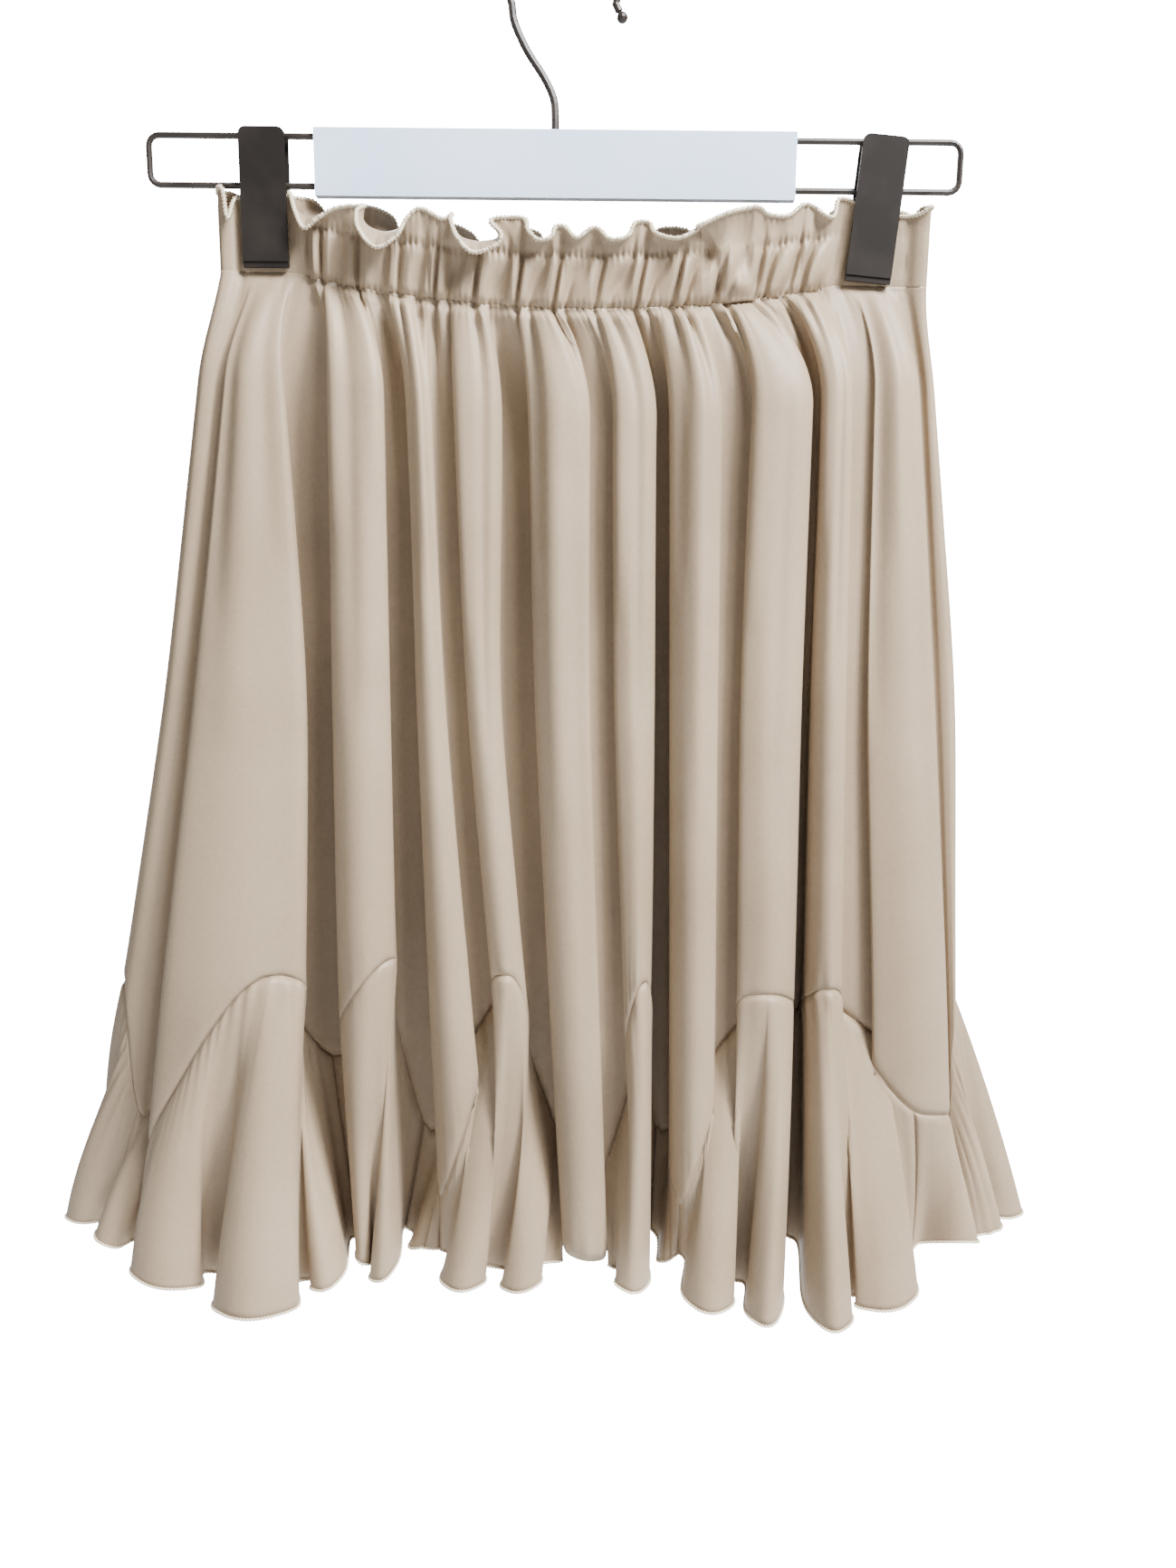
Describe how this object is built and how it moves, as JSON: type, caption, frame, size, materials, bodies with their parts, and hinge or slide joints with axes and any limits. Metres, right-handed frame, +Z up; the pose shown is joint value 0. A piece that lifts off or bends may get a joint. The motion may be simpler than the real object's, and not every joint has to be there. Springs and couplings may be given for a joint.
{
  "type": "gathered skirt on a clip hanger",
  "caption": "Beige crepe skirt gathered into a wide elastic waist with a frilled heading, flared godets let into its hem, held by a wire clip hanger with a blank sleeve.",
  "frame": {"origin": "inner top of the hanger's hook, where a rail carries it", "axes": "+Z up, +X to the right as seen from the skirt's front, the front faces -Y; the hanger's wires lie in the plane Y = 0"},
  "size_m": [0.5001, 0.1483, 0.6234],
  "materials": {
    "beige_crepe": "soft matt crepe",
    "dark_metal": "dark satin",
    "white_sleeve": "smooth, pale bluish white"
  },
  "bodies": {
    "root": {"back_panel": "beige_crepe", "clip_left_back_plate": "dark_metal", "clip_left_front_plate": "dark_metal", "clip_left_spring": "dark_metal", "clip_right_back_plate": "dark_metal", "clip_right_front_plate": "dark_metal", "clip_right_spring": "dark_metal", "front_panel": "beige_crepe", "godet_short_back": "beige_crepe", "godet_short_front_1": "beige_crepe", "godet_short_front_2": "beige_crepe", "godet_short_front_3": "beige_crepe", "godet_short_front_4": "beige_crepe", "godet_side_left": "beige_crepe", "godet_side_right": "beige_crepe", "godet_tall_back_1": "beige_crepe", "godet_tall_back_2": "beige_crepe", "godet_tall_back_3": "beige_crepe", "godet_tall_back_4": "beige_crepe", "godet_tall_back_5": "beige_crepe", "godet_tall_back_6": "beige_crepe", "godet_tall_front_1": "beige_crepe", "godet_tall_front_2": "beige_crepe", "godet_tall_front_3": "beige_crepe", "godet_tall_front_4": "beige_crepe", "godet_tall_front_5": "beige_crepe", "godet_tall_front_6": "beige_crepe", "hanger_frame": "dark_metal", "hanger_hook": "dark_metal", "hanger_hook_tip": "dark_metal", "hanger_sleeve": "white_sleeve", "waistband_back": "beige_crepe", "waistband_front": "beige_crepe"}
  },
  "joints": []
}
